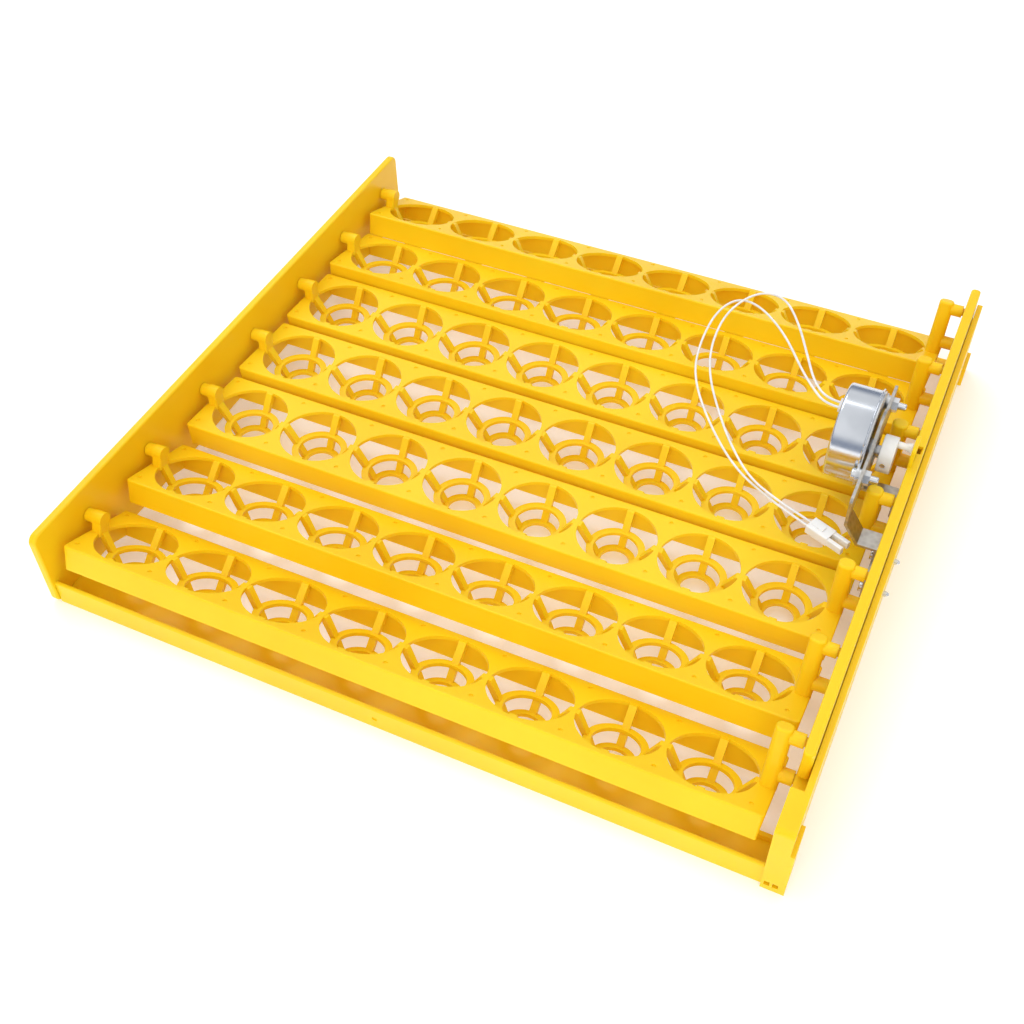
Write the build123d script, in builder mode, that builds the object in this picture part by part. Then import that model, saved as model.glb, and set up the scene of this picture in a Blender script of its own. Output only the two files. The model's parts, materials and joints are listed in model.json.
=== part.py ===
from build123d import *
import math
import os

# Automatic egg-turning tray: seven tilting rows of eight cups in a frame, rocked by a gear motor.
# Millimetres. X runs along the rows, Y from the front row to the back row, Z up.
# The origin is on the ground, under the middle of the footprint.

# ---- driving dimensions ----
CUP_PITCH = 46.0
CUPS_PER_ROW = 8
CUP_DIAMETER = 43.6
ROW_PITCH = 54.4
ROW_COUNT = 7
ROW_TILTS = (-22.5, -19.0, -5.0, -4.0, -3.5, -11.0, -19.5)  # degrees, top of the row leans back
MAIN_ROW = 5                                                # index of the row that carries the bar
PIVOT_HEIGHT = 33.5

FRAME_LENGTH = 387.0
PLATE_HEIGHT = 51.0
LEFT_OUTER_X = -203.65
RIGHT_OUTER_X = 200.65
LEFT_PLATE_THICKNESS = 4.6
RIGHT_PLATE_THICKNESS = 9.2
FIRST_PIVOT_Y = -155.3
FIRST_CUP_X = -167.35

# ---- worked out from them ----
FRAME_FRONT_Y = -FRAME_LENGTH / 2
FRAME_REAR_Y = FRAME_LENGTH / 2
LEFT_INNER_X = LEFT_OUTER_X + LEFT_PLATE_THICKNESS
RIGHT_INNER_X = RIGHT_OUTER_X - RIGHT_PLATE_THICKNESS
ROW_MIDDLE_X = FIRST_CUP_X + CUP_PITCH * (CUPS_PER_ROW - 1) / 2
PIVOT_YS = [FIRST_PIVOT_Y + ROW_PITCH * index for index in range(ROW_COUNT)]

# ---- pivots and drive pins ----
PIN_SHOULDER_DIAMETER = 7.5
PIVOT_TIP_DIAMETER = 5.0
PIVOT_BORE_DIAMETER = 5.2
DRIVE_SHOULDER_DIAMETER = 7.0
DRIVE_TIP_DIAMETER = 4.6
DRIVE_PIN_RADIUS = 20.7       # from the pivot axis to the drive pin axis

# ---- egg row, in its own frame: origin on the pivot axis, under the middle of the eight cups ----
DECK_TOP = -7.0
DECK_THICKNESS = 2.0
DECK_FRONT = -25.0
DECK_REAR = 26.4
SKIRT_HEIGHT = 14.3
SKIRT_WALL = 1.8
DRAFT_ANGLE = 4.0
ROW_LEFT = -188.6
ROW_RIGHT = 191.5
ROW_CORNER_RADIUS = 2.0
DECK_EDGE_RADIUS = 0.8
UPPER_RING = (16.0, 12.2, 10.0)   # outer radius, inner radius, depth of its top below the deck
LOWER_RING = (11.3, 7.8, 18.0)
RING_THICKNESS = 2.0
RIB_WIDTH = 4.0
DIMPLE_DIAMETER = 2.4
DIMPLE_DEPTH = 0.6
POST_WIDTH = 8.5
POST_DEPTH = 8.0
POST_TOP = 25.2
POST_CORNER_RADIUS = 3.2
LEFT_POST_TOP = 4.2
LEFT_POST_WIDTH = 6.0
LEFT_POST_INSET = 1.2
POST_EDGE_RADIUS = 1.4
LEFT_POST_CORNER_RADIUS = 1.2
PIN_ROOT_DEPTH = 1.0          # how far the pins start inside the right-hand post

# ---- drive bar ----
BAR_WIDTH = 5.4
BAR_INNER_X = RIGHT_INNER_X + 0.4
BAR_BOTTOM = PIVOT_HEIGHT + 8.0
BAR_TOP = PIVOT_HEIGHT + 26.8
BAR_FRONT_Y = -158.5
BAR_REAR_Y = 193.0
BAR_TOP_WALL = 2.0
BAR_INNER_WALL = 2.0
BAR_OUTER_WALL = 1.6
WINDOW_LENGTH = 12.6
WINDOW_HEIGHT = 8.6

# ---- motor, crank and bracket ----
MOTOR_Y = 36.9
MOTOR_Z = 66.8
SHAFT_Z = 58.8
CAN_RADIUS = 25.2
CAN_BACK_X = 151.9
CAN_FRONT_X = 169.6
CAN_WALL = 0.8
FRONT_PLATE_THICKNESS = 1.2
EAR_SPACING = 59.5
EAR_FACE_X = 172.4
SHEET = 1.5
CRANK_RADIUS = 6.5
CRANK_ANGLE = 60.0
DISC_RADIUS = 10.2
DISC_BACK_X = 176.4
DISC_FRONT_X = 183.9
CRANK_PIN_END_X = 191.3

os.makedirs("parts", exist_ok=True)


def save(solid, name):
    """Label one finished piece and write it to its own file."""
    solid.label = name
    export_step(solid, "parts/" + name + ".step")


def at_x(x):
    """A YZ plane at the given x, whose own x is world Y and own y is world Z."""
    return Plane.YZ.offset(x)


def at_y(y):
    """A plane at the given y, whose own x is world X and own y is world Z, facing the front."""
    return Plane.XZ.offset(-y)


# ================= frame =================
FOOT_SCREW_YS = (-9.5, -32.5)
FOOT_SCREW_Z = 31.5
FOOT_SCREW_DIAMETER = 3.0
BAR_WEB = (-191.5, -189.1)           # front cross bar: the web's two faces in y
BAR_WEB_HEIGHT = 15.0
BAR_FLANGE_REAR_Y = -170.0
BAR_FLANGE_THICKNESS = 2.4
BAR_RIB = (2.2, 6.0)                 # thickness and height of its rear rib
FRONT_TONGUE = (7.5, 9.0)            # middle height and height of its end tongues
REAR_STRIP = (188.0, 193.3)          # rear cross bar: front and rear faces in y
REAR_STRIP_HEIGHT = 3.4
REAR_TONGUE_Y = 190.6
REAR_TONGUE = (2.6, 1.8, 1.7)        # depth, height and middle height
TONGUE_LENGTH = 2.6
TONGUE_CLEARANCE = 0.2
PLATE_CORNER_RADIUS = 5.0
PLATE_TOP_RADIUS = 1.2


def cut_tongue_slots(inner_x, direction):
    """Cut the cross bars' slots into a side plate; direction is +1 into the right-hand plate."""
    depth = TONGUE_LENGTH + TONGUE_CLEARANCE
    middle_x = inner_x + direction * depth / 2
    web_middle = (BAR_WEB[0] + BAR_WEB[1]) / 2
    web_thickness = BAR_WEB[1] - BAR_WEB[0]
    gap = 2 * TONGUE_CLEARANCE
    with Locations((middle_x, web_middle, FRONT_TONGUE[0])):
        Box(depth, web_thickness + gap, FRONT_TONGUE[1] + gap, mode=Mode.SUBTRACT)
    with Locations((middle_x, REAR_TONGUE_Y, REAR_TONGUE[2])):
        Box(depth, REAR_TONGUE[0] + gap, REAR_TONGUE[1] + gap, mode=Mode.SUBTRACT)


LEFT_BORE_DEPTH = 3.0

with BuildPart() as left_side_plate:
    with BuildSketch(at_x(LEFT_OUTER_X)):
        with Locations((0, PLATE_HEIGHT / 2)):
            outline = Rectangle(FRAME_LENGTH, PLATE_HEIGHT)
        fillet(outline.vertices().group_by(Axis.Z)[-1], PLATE_CORNER_RADIUS)
    extrude(amount=LEFT_PLATE_THICKNESS)
    top_edges = left_side_plate.edges().filter_by(Axis.Y).group_by(Axis.Z)[-1]
    fillet(top_edges, PLATE_TOP_RADIUS)
    with BuildSketch(at_x(LEFT_INNER_X - LEFT_BORE_DEPTH)):
        with Locations([(y, PIVOT_HEIGHT) for y in PIVOT_YS]):
            Circle(PIVOT_BORE_DIAMETER / 2)
    extrude(amount=LEFT_BORE_DEPTH, mode=Mode.SUBTRACT)
    cut_tongue_slots(LEFT_INNER_X, -1)
save(left_side_plate.part, "left_side_plate")

RAIL_TOP = PIVOT_HEIGHT + 5.5
RAIL_INNER_WALL = 2.4
UPPER_WALL = 3.0
CAVITY_ROOF = RAIL_TOP - 2.4
FRONT_BLOCK_LENGTH = 23.0
REAR_BLOCK_LENGTH = 8.0
CAVITY_RIB = 2.0
PAD_THICKNESS = 2.0
PAD_LENGTH = 17.0
PAD_HEIGHTS = (34.5, 13.0)           # front pad, rear pad
CLIP_POCKET = (2.6, 3.2, 4.0)        # width, height and depth of the two pockets in the front end
CLIP_POCKET_XS = (2.6, 6.6)          # their middles, from the plate's inner face
CLIP_POCKET_Z = 5.0
RIGHT_PLATE_CORNER_RADIUS = 3.0

with BuildPart() as right_side_plate:
    with BuildSketch(at_x(RIGHT_INNER_X)):
        with Locations((0, PLATE_HEIGHT / 2)):
            Rectangle(FRAME_LENGTH, PLATE_HEIGHT)
    extrude(amount=RIGHT_PLATE_THICKNESS)
    end_corners = right_side_plate.edges().filter_by(Axis.X).group_by(Axis.Z)[-1]
    fillet(end_corners, RIGHT_PLATE_CORNER_RADIUS)
    # the open channel over the rail, in which the drive bar slides
    channel_width = RIGHT_PLATE_THICKNESS - UPPER_WALL
    channel_front = FRAME_FRONT_Y + FRONT_BLOCK_LENGTH
    with BuildSketch(Plane.XY.offset(RAIL_TOP)):
        with Locations((RIGHT_INNER_X + channel_width / 2, (channel_front + FRAME_REAR_Y) / 2)):
            Rectangle(channel_width, FRAME_REAR_Y - channel_front)
    extrude(amount=PLATE_HEIGHT - RAIL_TOP, mode=Mode.SUBTRACT)
    # the hollow of the rail, open underneath and crossed by ribs half way between the pivots
    cavity_width = RIGHT_PLATE_THICKNESS - UPPER_WALL - RAIL_INNER_WALL
    cavity_x = RIGHT_INNER_X + RAIL_INNER_WALL + cavity_width / 2
    rib_ys = [y + ROW_PITCH / 2 for y in PIVOT_YS[:-1]]
    cavity_edges = [channel_front] + rib_ys + [FRAME_REAR_Y - REAR_BLOCK_LENGTH]
    with BuildSketch(Plane.XY):
        for front, rear in zip(cavity_edges, cavity_edges[1:]):
            with Locations((cavity_x, (front + rear) / 2)):
                Rectangle(cavity_width, rear - front - CAVITY_RIB)
    extrude(amount=CAVITY_ROOF, mode=Mode.SUBTRACT)
    with BuildSketch(at_x(RIGHT_INNER_X)):
        with Locations([(y, PIVOT_HEIGHT) for y in PIVOT_YS]):
            Circle(PIVOT_BORE_DIAMETER / 2)
    extrude(amount=RAIL_INNER_WALL, mode=Mode.SUBTRACT)
    # pads on the outside of both ends
    with BuildSketch(at_x(RIGHT_OUTER_X)):
        with Locations((FRAME_FRONT_Y + PAD_LENGTH / 2, PAD_HEIGHTS[0] / 2)):
            Rectangle(PAD_LENGTH, PAD_HEIGHTS[0])
        with Locations((FRAME_REAR_Y - PAD_LENGTH / 2, PAD_HEIGHTS[1] / 2)):
            Rectangle(PAD_LENGTH, PAD_HEIGHTS[1])
    extrude(amount=PAD_THICKNESS)
    # clip pockets in the front end face
    with BuildSketch(at_y(FRAME_FRONT_Y)):
        with Locations([(RIGHT_INNER_X + x, CLIP_POCKET_Z) for x in CLIP_POCKET_XS]):
            Rectangle(CLIP_POCKET[0], CLIP_POCKET[1])
    extrude(amount=-CLIP_POCKET[2], mode=Mode.SUBTRACT)
    cut_tongue_slots(RIGHT_INNER_X, 1)
    with BuildSketch(at_x(RIGHT_INNER_X)):
        with Locations([(y, FOOT_SCREW_Z) for y in FOOT_SCREW_YS]):
            Circle(FOOT_SCREW_DIAMETER / 2)
    extrude(amount=RIGHT_PLATE_THICKNESS, mode=Mode.SUBTRACT)
save(right_side_plate.part, "right_side_plate")

BAR_LENGTH = RIGHT_INNER_X - LEFT_INNER_X
GATE_MARK_DIAMETER = 3.0
GATE_MARK_DEPTH = 0.6

with BuildPart() as front_cross_bar:
    with BuildSketch(at_x(LEFT_INNER_X)):
        with BuildLine():
            Polyline(
                (BAR_WEB[0], 0),
                (BAR_FLANGE_REAR_Y, 0),
                (BAR_FLANGE_REAR_Y, BAR_RIB[1]),
                (BAR_FLANGE_REAR_Y - BAR_RIB[0], BAR_RIB[1]),
                (BAR_FLANGE_REAR_Y - BAR_RIB[0], BAR_FLANGE_THICKNESS),
                (BAR_WEB[1], BAR_FLANGE_THICKNESS),
                (BAR_WEB[1], BAR_WEB_HEIGHT),
                (BAR_WEB[0], BAR_WEB_HEIGHT),
                close=True,
            )
        make_face()
    extrude(amount=BAR_LENGTH)
    long_edges = front_cross_bar.edges().filter_by(Axis.X)
    fillet(long_edges.group_by(Axis.Z)[-1], 0.8)
    with BuildSketch(at_x(LEFT_INNER_X - TONGUE_LENGTH)):
        with Locations(((BAR_WEB[0] + BAR_WEB[1]) / 2, FRONT_TONGUE[0])):
            Rectangle(BAR_WEB[1] - BAR_WEB[0], FRONT_TONGUE[1])
    extrude(amount=BAR_LENGTH + 2 * TONGUE_LENGTH)
    with BuildSketch(at_y(BAR_WEB[0])):
        with Locations((ROW_MIDDLE_X, BAR_WEB_HEIGHT / 2)):
            Circle(GATE_MARK_DIAMETER / 2)
    extrude(amount=-GATE_MARK_DEPTH, mode=Mode.SUBTRACT)
save(front_cross_bar.part, "front_cross_bar")

with BuildPart() as rear_cross_bar:
    with BuildSketch(at_x(LEFT_INNER_X)):
        with Locations(((REAR_STRIP[0] + REAR_STRIP[1]) / 2, REAR_STRIP_HEIGHT / 2)):
            Rectangle(REAR_STRIP[1] - REAR_STRIP[0], REAR_STRIP_HEIGHT)
    extrude(amount=BAR_LENGTH)
    with BuildSketch(at_x(LEFT_INNER_X - TONGUE_LENGTH)):
        with Locations((REAR_TONGUE_Y, REAR_TONGUE[2])):
            Rectangle(REAR_TONGUE[0], REAR_TONGUE[1])
    extrude(amount=BAR_LENGTH + 2 * TONGUE_LENGTH)
save(rear_cross_bar.part, "rear_cross_bar")

# ================= egg rows =================
CUP_XS = [CUP_PITCH * (index - (CUPS_PER_ROW - 1) / 2) for index in range(CUPS_PER_ROW)]
RIB_PROFILE = (                      # radius and height of the rib's corners, in the row's frame
    (22.7, DECK_TOP - 0.2),
    (20.2, DECK_TOP - 0.2),
    (13.6, DECK_TOP - 10.2),
    (9.2, DECK_TOP - 18.2),
    (9.2, DECK_TOP - 20.0),
    (11.2, DECK_TOP - 20.0),
    (16.0, DECK_TOP - 12.0),
    (22.7, DECK_TOP - 2.6),
)

with BuildPart() as basket:
    for outer_radius, inner_radius, depth in (UPPER_RING, LOWER_RING):
        with BuildSketch(Plane.XY.offset(DECK_TOP - depth - RING_THICKNESS)):
            Circle(outer_radius)
            Circle(inner_radius, mode=Mode.SUBTRACT)
        extrude(amount=RING_THICKNESS)
    with BuildPart(mode=Mode.PRIVATE) as rib:
        with BuildSketch(Plane.XZ):
            with BuildLine():
                Polyline(*RIB_PROFILE, close=True)
            make_face()
        extrude(amount=RIB_WIDTH / 2, both=True)
    with PolarLocations(0, 4):
        add(rib.part)

DIMPLE_XS = [x - CUP_PITCH / 2 for x in CUP_XS] + [CUP_XS[-1] + CUP_PITCH / 2]
DIMPLE_YS = (-18.8, 21.6)
PIVOT_SHOULDER_END = RIGHT_INNER_X - 0.6 - ROW_MIDDLE_X
PIVOT_TIP_END = RIGHT_INNER_X + 1.9 - ROW_MIDDLE_X
DRIVE_SHOULDER_END = BAR_INNER_X - 0.95 - ROW_MIDDLE_X
DRIVE_TIP_END = BAR_INNER_X + BAR_INNER_WALL + 0.55 - ROW_MIDDLE_X
LEFT_SHOULDER_END = LEFT_INNER_X + 0.55 - ROW_MIDDLE_X
LEFT_TIP_END = LEFT_INNER_X - 2.4 - ROW_MIDDLE_X


def add_pin(start_x, end_x, height, diameter):
    """A round pin along X in the row's frame, between two x positions."""
    with Locations(((start_x + end_x) / 2, 0, height)):
        Cylinder(diameter / 2, abs(end_x - start_x), rotation=(0, 90, 0))


with BuildPart() as egg_row:
    row_length = ROW_RIGHT - ROW_LEFT
    row_depth = DECK_REAR - DECK_FRONT
    row_middle = ((ROW_LEFT + ROW_RIGHT) / 2, (DECK_FRONT + DECK_REAR) / 2)
    with BuildSketch(Plane.XY.offset(DECK_TOP)):
        with Locations(row_middle):
            RectangleRounded(row_length, row_depth, ROW_CORNER_RADIUS)
    extrude(amount=-SKIRT_HEIGHT, taper=DRAFT_ANGLE)
    fillet(egg_row.faces().sort_by(Axis.Z)[-1].edges(), DECK_EDGE_RADIUS)
    with BuildSketch(Plane.XY.offset(DECK_TOP - DECK_THICKNESS)):
        with Locations(row_middle):
            RectangleRounded(row_length - 2 * SKIRT_WALL, row_depth - 2 * SKIRT_WALL, 1.0)
    extrude(amount=-SKIRT_HEIGHT, taper=DRAFT_ANGLE, mode=Mode.SUBTRACT)
    with BuildSketch(Plane.XY.offset(DECK_TOP)):
        with Locations([(x, 0) for x in CUP_XS]):
            Circle(CUP_DIAMETER / 2)
    extrude(amount=-DECK_THICKNESS, mode=Mode.SUBTRACT)
    with BuildSketch(Plane.XY.offset(DECK_TOP)):
        with Locations([(x, y) for x in DIMPLE_XS for y in DIMPLE_YS]):
            Circle(DIMPLE_DIAMETER / 2)
    extrude(amount=-DIMPLE_DEPTH, mode=Mode.SUBTRACT)
    with Locations([(x, 0, 0) for x in CUP_XS]):
        add(basket.part)
    # right-hand post, well rounded, with the pivot pin below and the drive pin above
    with BuildSketch(Plane.XY.offset(DECK_TOP - DECK_THICKNESS)):
        with Locations((ROW_RIGHT - POST_WIDTH / 2, 0)):
            RectangleRounded(POST_WIDTH, POST_DEPTH, POST_CORNER_RADIUS)
    extrude(amount=POST_TOP - DECK_TOP + DECK_THICKNESS)
    fillet(egg_row.faces().sort_by(Axis.Z)[-1].edges(), POST_EDGE_RADIUS)
    # left-hand post
    with BuildSketch(Plane.XY.offset(DECK_TOP - DECK_THICKNESS)):
        with Locations((ROW_LEFT + LEFT_POST_INSET + LEFT_POST_WIDTH / 2, 0)):
            RectangleRounded(LEFT_POST_WIDTH, POST_DEPTH, LEFT_POST_CORNER_RADIUS)
    extrude(amount=DECK_THICKNESS - DECK_TOP)
    with Locations((ROW_LEFT + LEFT_POST_INSET + LEFT_POST_WIDTH / 2, 0, 0)):
        Cylinder(LEFT_POST_TOP, LEFT_POST_WIDTH, rotation=(0, 90, 0))
    add_pin(ROW_RIGHT - PIN_ROOT_DEPTH, PIVOT_SHOULDER_END, 0, PIN_SHOULDER_DIAMETER)
    add_pin(ROW_RIGHT - PIN_ROOT_DEPTH, PIVOT_TIP_END, 0, PIVOT_TIP_DIAMETER)
    add_pin(ROW_RIGHT - PIN_ROOT_DEPTH, DRIVE_SHOULDER_END, DRIVE_PIN_RADIUS, DRIVE_SHOULDER_DIAMETER)
    add_pin(ROW_RIGHT - PIN_ROOT_DEPTH, DRIVE_TIP_END, DRIVE_PIN_RADIUS, DRIVE_TIP_DIAMETER)
    add_pin(ROW_LEFT + 2 * LEFT_POST_INSET, LEFT_SHOULDER_END, 0, PIN_SHOULDER_DIAMETER)
    add_pin(ROW_LEFT + 2 * LEFT_POST_INSET, LEFT_TIP_END, 0, PIVOT_TIP_DIAMETER)

for number, (pivot_y, tilt) in enumerate(zip(PIVOT_YS, ROW_TILTS), start=1):
    placed_row = Pos(ROW_MIDDLE_X, pivot_y, PIVOT_HEIGHT) * Rot(tilt, 0, 0) * egg_row.part
    save(placed_row, "egg_row_" + str(number))

# ================= drive bar =================
MAIN_TILT = math.radians(ROW_TILTS[MAIN_ROW])
DRIVE_PIN_BACK = -DRIVE_PIN_RADIUS * math.sin(MAIN_TILT)
DRIVE_PIN_UP = DRIVE_PIN_RADIUS * math.cos(MAIN_TILT)
WINDOW_SHIFT = (0.65, -0.3)            # the windows' middles from the main row's drive pin
LUG_HALF_LENGTH = 6.6
LUG_BOTTOM = 46.0
LUG_TOP = 72.4
LUG_CORNER_RADIUS = 2.0
BAR_END_RADIUS = 2.2
BAR_EDGE_RADIUS = 0.8
BAR_END_WALL = 3.0
WINDOW_CORNER_RADIUS = 2.0
SLOT_WIDTH = 7.8
SLOT_LENGTH = 2 * CRANK_RADIUS + SLOT_WIDTH + 0.6
TOP_HOLE = (3.4, 6.0, 45.0)           # width, length and middle y of the opening in the bar's top

with BuildPart() as drive_bar:
    bar_x = BAR_INNER_X + BAR_WIDTH / 2
    bar_y = (BAR_FRONT_Y + BAR_REAR_Y) / 2
    bar_length = BAR_REAR_Y - BAR_FRONT_Y
    with BuildSketch(Plane.XY.offset(BAR_BOTTOM)):
        with Locations((bar_x, bar_y)):
            RectangleRounded(BAR_WIDTH, bar_length, BAR_END_RADIUS)
    extrude(amount=BAR_TOP - BAR_BOTTOM)
    fillet(drive_bar.faces().sort_by(Axis.Z)[-1].edges(), BAR_EDGE_RADIUS)
    groove_width = BAR_WIDTH - BAR_INNER_WALL - BAR_OUTER_WALL
    with BuildSketch(Plane.XY.offset(BAR_BOTTOM)):
        with Locations((BAR_INNER_X + BAR_INNER_WALL + groove_width / 2, bar_y)):
            Rectangle(groove_width, bar_length - 2 * BAR_END_WALL)
    extrude(amount=BAR_TOP - BAR_TOP_WALL - BAR_BOTTOM, mode=Mode.SUBTRACT)
    window_z = PIVOT_HEIGHT + DRIVE_PIN_UP + WINDOW_SHIFT[1]
    window_ys = [y + DRIVE_PIN_BACK + WINDOW_SHIFT[0] for y in PIVOT_YS]
    with BuildSketch(at_x(BAR_INNER_X)):
        with Locations([(y, window_z) for y in window_ys]):
            RectangleRounded(WINDOW_LENGTH, WINDOW_HEIGHT, WINDOW_CORNER_RADIUS)
    extrude(amount=BAR_INNER_WALL, mode=Mode.SUBTRACT)
    with BuildSketch(Plane.XY.offset(BAR_TOP)):
        with Locations((BAR_INNER_X + BAR_WIDTH / 2, TOP_HOLE[2])):
            Rectangle(TOP_HOLE[0], TOP_HOLE[1])
    extrude(amount=-BAR_TOP_WALL, mode=Mode.SUBTRACT)
    # the inner wall rises into a lug with an upright slot for the crank pin
    with BuildSketch(at_x(BAR_INNER_X)):
        with Locations((MOTOR_Y, (LUG_BOTTOM + LUG_TOP) / 2)):
            RectangleRounded(2 * LUG_HALF_LENGTH, LUG_TOP - LUG_BOTTOM, LUG_CORNER_RADIUS)
    extrude(amount=BAR_INNER_WALL)
    with BuildSketch(at_x(BAR_INNER_X)):
        with Locations((MOTOR_Y, SHAFT_Z)):
            SlotOverall(SLOT_LENGTH, SLOT_WIDTH, rotation=90)
    extrude(amount=BAR_INNER_WALL, mode=Mode.SUBTRACT)
save(drive_bar.part, "drive_bar")

# ================= gear motor =================
SHAFT_DIAMETER = 7.0
SHAFT_BOSS_RADIUS = 6.0
SHAFT_FLAT = 2.6
RIM_RADIUS = CAN_RADIUS + 0.8
RIM_THICKNESS = 0.8
CAN_EDGE_RADIUS = 1.6
EAR_RADIUS = 5.0
EAR_HOLE_DIAMETER = 4.3
SHAFT_BACK_X = 163.2
FRONT_PLATE_BACK_X = CAN_FRONT_X
FRONT_PLATE_FRONT_X = CAN_FRONT_X + FRONT_PLATE_THICKNESS
EAR_YS = (MOTOR_Y - EAR_SPACING / 2, MOTOR_Y + EAR_SPACING / 2)

with BuildPart() as motor_can:
    with BuildSketch(at_x(CAN_BACK_X)):
        with Locations((MOTOR_Y, MOTOR_Z)):
            Circle(CAN_RADIUS)
    extrude(amount=CAN_FRONT_X - CAN_BACK_X)
    fillet(motor_can.faces().sort_by(Axis.X)[0].edges(), CAN_EDGE_RADIUS)
    with BuildSketch(at_x(CAN_FRONT_X - RIM_THICKNESS)):
        with Locations((MOTOR_Y, MOTOR_Z)):
            Circle(RIM_RADIUS)
    extrude(amount=RIM_THICKNESS)
    inside_corner = CAN_EDGE_RADIUS - CAN_WALL
    with BuildSketch(at_x(CAN_BACK_X + CAN_WALL + inside_corner)):
        with Locations((MOTOR_Y, MOTOR_Z)):
            Circle(CAN_RADIUS - CAN_WALL)
    extrude(amount=CAN_FRONT_X - CAN_BACK_X - CAN_WALL - inside_corner, mode=Mode.SUBTRACT)
    with BuildSketch(at_x(CAN_BACK_X + CAN_WALL)):
        with Locations((MOTOR_Y, MOTOR_Z)):
            Circle(CAN_RADIUS - CAN_WALL - inside_corner)
    extrude(amount=inside_corner, mode=Mode.SUBTRACT)
save(motor_can.part, "motor_can")

with BuildPart() as motor_front_plate:
    with BuildSketch(at_x(FRONT_PLATE_BACK_X)):
        with Locations((MOTOR_Y, MOTOR_Z)):
            Circle(CAN_RADIUS)
            Rectangle(EAR_SPACING, 2 * EAR_RADIUS)
        with Locations([(y, MOTOR_Z) for y in EAR_YS]):
            Circle(EAR_RADIUS)
            Circle(EAR_HOLE_DIAMETER / 2, mode=Mode.SUBTRACT)
        with Locations((MOTOR_Y, SHAFT_Z)):
            Circle(SHAFT_DIAMETER / 2 + 0.1, mode=Mode.SUBTRACT)
    extrude(amount=FRONT_PLATE_THICKNESS)
    # raised rings round the ear holes, and the bearing boss round the shaft
    with BuildSketch(at_x(FRONT_PLATE_FRONT_X)):
        with Locations([(y, MOTOR_Z) for y in EAR_YS]):
            Circle(EAR_RADIUS - 0.8)
            Circle(EAR_HOLE_DIAMETER / 2, mode=Mode.SUBTRACT)
        with Locations((MOTOR_Y, SHAFT_Z)):
            Circle(SHAFT_BOSS_RADIUS)
            Circle(SHAFT_DIAMETER / 2 + 0.1, mode=Mode.SUBTRACT)
    extrude(amount=EAR_FACE_X - FRONT_PLATE_FRONT_X)
save(motor_front_plate.part, "motor_front_plate")

with BuildPart() as output_shaft:
    with BuildSketch(at_x(SHAFT_BACK_X)):
        with Locations((MOTOR_Y, SHAFT_Z)):
            Circle(SHAFT_DIAMETER / 2)
    extrude(amount=DISC_FRONT_X - 1.0 - SHAFT_BACK_X)
    with BuildSketch(at_x(DISC_BACK_X - 0.4)):
        with Locations((MOTOR_Y - SHAFT_FLAT - 2.0, SHAFT_Z)):
            Rectangle(4.0, SHAFT_DIAMETER)
    extrude(amount=DISC_FRONT_X - DISC_BACK_X, mode=Mode.SUBTRACT)
    chamfer(output_shaft.faces().sort_by(Axis.X)[-1].edges(), 0.4)
save(output_shaft.part, "output_shaft")

# ---- sealed inside the can: winding, rotor, partition and the wheel on the output shaft ----
COIL_XS = (156.4, 160.4)
COIL_RADII = (21.8, 13.6)
ROTOR_XS = (156.4, 160.4)
ROTOR_RADIUS = 12.4
SPINDLE_RADIUS = 1.0
SPINDLE_FRONT_X = 163.4
PARTITION_XS = (161.0, 162.2)
GEAR_XS = (164.6, 167.4)
GEAR_TEETH = 40
GEAR_RADII = (13.6, 12.4)             # tip and root


def add_tube(x_range, centre_z, outer_radius, inner_radius):
    """A ring along X on the motor's middle plane; must be called inside a part."""
    start_x, end_x = x_range
    middle = ((start_x + end_x) / 2, MOTOR_Y, centre_z)
    with Locations(middle):
        Cylinder(outer_radius, end_x - start_x, rotation=(0, 90, 0))
        Cylinder(inner_radius, end_x - start_x, rotation=(0, 90, 0), mode=Mode.SUBTRACT)


with BuildPart() as motor_coil:
    add_tube(COIL_XS, MOTOR_Z, COIL_RADII[0], COIL_RADII[1])
save(motor_coil.part, "motor_coil")

with BuildPart() as motor_rotor:
    add_tube(ROTOR_XS, MOTOR_Z, ROTOR_RADIUS, SPINDLE_RADIUS)
    with Locations(((ROTOR_XS[0] + SPINDLE_FRONT_X) / 2, MOTOR_Y, MOTOR_Z)):
        Cylinder(SPINDLE_RADIUS, SPINDLE_FRONT_X - ROTOR_XS[0], rotation=(0, 90, 0))
save(motor_rotor.part, "motor_rotor")

with BuildPart() as gear_partition:
    add_tube(PARTITION_XS, MOTOR_Z, CAN_RADIUS - CAN_WALL, SPINDLE_RADIUS + 0.1)
save(gear_partition.part, "gear_partition")

with BuildPart() as output_gear:
    add_tube(GEAR_XS, SHAFT_Z, GEAR_RADII[0], SHAFT_DIAMETER / 2)
    tooth_step = 360.0 / GEAR_TEETH
    notch_width = math.pi * GEAR_RADII[1] / GEAR_TEETH
    with BuildPart(mode=Mode.PRIVATE) as notch:
        with Locations(((GEAR_XS[0] + GEAR_XS[1]) / 2, 0, GEAR_RADII[0])):
            Box(GEAR_XS[1] - GEAR_XS[0], notch_width, 2 * (GEAR_RADII[0] - GEAR_RADII[1]))
    for tooth in range(GEAR_TEETH):
        turned_notch = Pos(0, MOTOR_Y, SHAFT_Z) * Rot(tooth * tooth_step, 0, 0) * notch.part
        add(turned_notch, mode=Mode.SUBTRACT)
save(output_gear.part, "output_gear")

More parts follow.
